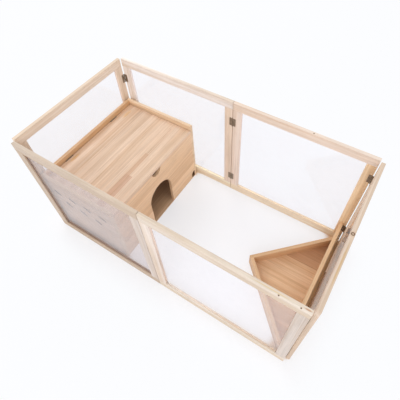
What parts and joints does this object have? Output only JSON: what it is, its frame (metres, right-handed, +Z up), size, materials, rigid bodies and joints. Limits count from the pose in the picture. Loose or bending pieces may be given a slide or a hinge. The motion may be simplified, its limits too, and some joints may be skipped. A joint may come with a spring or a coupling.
{
  "type": "small animal enclosure",
  "caption": "Folding pen of clear panels in pine frames, with a lidded wooden house and a triangular corner tray.",
  "frame": {"origin": "on the ground at the middle of the pen's footprint", "axes": "+X along the pen from the house to the tray, +Y from front to back, +Z up"},
  "size_m": [1.0334, 0.5314, 0.49],
  "materials": {
    "frame_wood": "planed and sanded, unvarnished",
    "house_wood": "planed and sanded, unvarnished",
    "lid_wood": "planed and sanded, unvarnished",
    "tray_wood": "planed and sanded, unvarnished",
    "clear_pane": "clear acrylic, polished",
    "hinge_bronze": "dark bronze plating, satin"
  },
  "bodies": {
    "left_end": {"left_end_bottom_rail": "frame_wood", "left_end_top_rail": "frame_wood", "left_end_front_stile": "frame_wood", "left_end_back_stile": "frame_wood", "left_end_pane": "clear_pane", "left_end_front_hinge_leaves": "hinge_bronze", "left_end_back_hinge_leaves": "hinge_bronze"},
    "back_left": {"back_left_bottom_rail": "frame_wood", "back_left_top_rail": "frame_wood", "back_left_left_stile": "frame_wood", "back_left_right_stile": "frame_wood", "back_left_pane": "clear_pane", "back_left_left_hinge_leaves": "hinge_bronze", "back_left_right_hinge_leaves": "hinge_bronze", "back_left_hinge_pins": "hinge_bronze"},
    "back_right": {"back_right_bottom_rail": "frame_wood", "back_right_top_rail": "frame_wood", "back_right_left_stile": "frame_wood", "back_right_right_stile": "frame_wood", "back_right_pane": "clear_pane", "back_right_left_hinge_leaves": "hinge_bronze", "back_right_right_hinge_leaves": "hinge_bronze"},
    "right_end": {"right_end_bottom_rail": "frame_wood", "right_end_top_rail": "frame_wood", "right_end_back_stile": "frame_wood", "right_end_front_stile": "frame_wood", "right_end_pane": "clear_pane", "right_end_back_hinge_leaves": "hinge_bronze", "right_end_front_hinge_leaves": "hinge_bronze", "right_end_hinge_pins": "hinge_bronze"},
    "front_right": {"front_right_bottom_rail": "frame_wood", "front_right_top_rail": "frame_wood", "front_right_right_stile": "frame_wood", "front_right_left_stile": "frame_wood", "front_right_pane": "clear_pane", "front_right_right_hinge_leaves": "hinge_bronze", "front_right_left_hinge_leaves": "hinge_bronze"},
    "front_left": {"front_left_bottom_rail": "frame_wood", "front_left_top_rail": "frame_wood", "front_left_right_stile": "frame_wood", "front_left_left_stile": "frame_wood", "front_left_pane": "clear_pane", "front_left_right_hinge_leaves": "hinge_bronze", "front_left_left_hinge_leaves": "hinge_bronze", "front_left_hinge_pins": "hinge_bronze"},
    "house": {"house_floor": "house_wood", "house_front_wall": "house_wood", "house_back_wall": "house_wood", "house_left_wall": "house_wood", "house_door_wall": "house_wood", "house_lid_hinge_wall_leaves": "hinge_bronze", "house_lid_hinge_pins": "hinge_bronze"},
    "house_lid": {"house_lid": "lid_wood", "house_lid_hinge_lid_leaves": "hinge_bronze"},
    "corner_tray": {"tray_floor": "tray_wood", "tray_end_board": "tray_wood", "tray_front_board": "tray_wood", "tray_back_board": "tray_wood"}
  },
  "joints": [
    {"name": "pen_fold", "type": "hinge", "parent": "left_end", "child": "back_left", "pos_m": [-0.502, 0.251, 0], "axis": [0, 0, 1], "range_deg": [0, 50]},
    {"name": "back_middle_hinge", "type": "hinge", "parent": "back_left", "child": "back_right", "pos_m": [0, 0.251, 0], "axis": [0, 0, 1], "range_deg": [-100, 0]},
    {"name": "back_right_corner_hinge", "type": "hinge", "parent": "back_right", "child": "right_end", "pos_m": [0.502, 0.251, 0], "axis": [0, 0, 1], "range_deg": [0, 50]},
    {"name": "front_left_corner_hinge", "type": "hinge", "parent": "left_end", "child": "front_left", "pos_m": [-0.502, -0.251, 0], "axis": [0, 0, 1], "range_deg": [-50, 0]},
    {"name": "front_middle_hinge", "type": "hinge", "parent": "front_left", "child": "front_right", "pos_m": [0, -0.251, 0], "axis": [0, 0, 1], "range_deg": [0, 100]},
    {"name": "house_lift", "type": "slide", "parent": "left_end", "child": "house", "axis": [0, 0, 1], "range_m": [0, 0.5]},
    {"name": "lid_hinge", "type": "hinge", "parent": "house", "child": "house_lid", "pos_m": [-0.48605, 0, 0.286], "axis": [0, -1, 0], "range_deg": [0, 95]},
    {"name": "tray_lift", "type": "slide", "parent": "right_end", "child": "corner_tray", "axis": [0, 0, 1], "range_m": [0, 0.5]}
  ],
  "couplings": [
    {"joint": "back_middle_hinge", "follows": "pen_fold", "ratio": -2},
    {"joint": "back_right_corner_hinge", "follows": "pen_fold", "ratio": 1},
    {"joint": "front_left_corner_hinge", "follows": "pen_fold", "ratio": -1},
    {"joint": "front_middle_hinge", "follows": "pen_fold", "ratio": 2}
  ]
}
